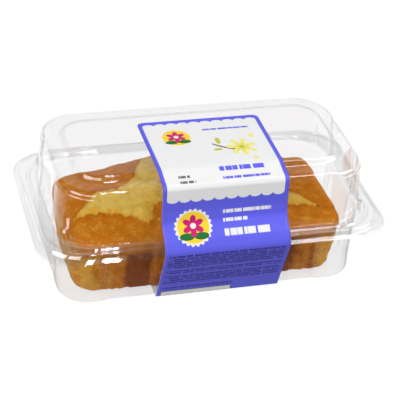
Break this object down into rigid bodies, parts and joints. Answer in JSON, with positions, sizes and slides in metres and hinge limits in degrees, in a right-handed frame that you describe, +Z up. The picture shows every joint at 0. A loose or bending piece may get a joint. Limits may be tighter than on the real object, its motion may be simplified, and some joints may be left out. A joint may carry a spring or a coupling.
{
  "type": "packaged pound cake loaf",
  "caption": "Golden pound cake loaf with a burst top, inside a clear hinged tray and lid held shut by a printed paper band.",
  "frame": {"origin": "middle of the ground below the pack", "axes": "+X along the loaf to the right, +Y from the band's open front to the hinge at the back, +Z up"},
  "size_m": [0.214, 0.121, 0.0804],
  "materials": {
    "clear_plastic": "gloss",
    "printed_paper": "satin",
    "baked_crust": "matte"
  },
  "bodies": {
    "root": {"tray": "clear_plastic", "lid": "clear_plastic", "band": "printed_paper", "cake": "baked_crust"}
  },
  "joints": []
}
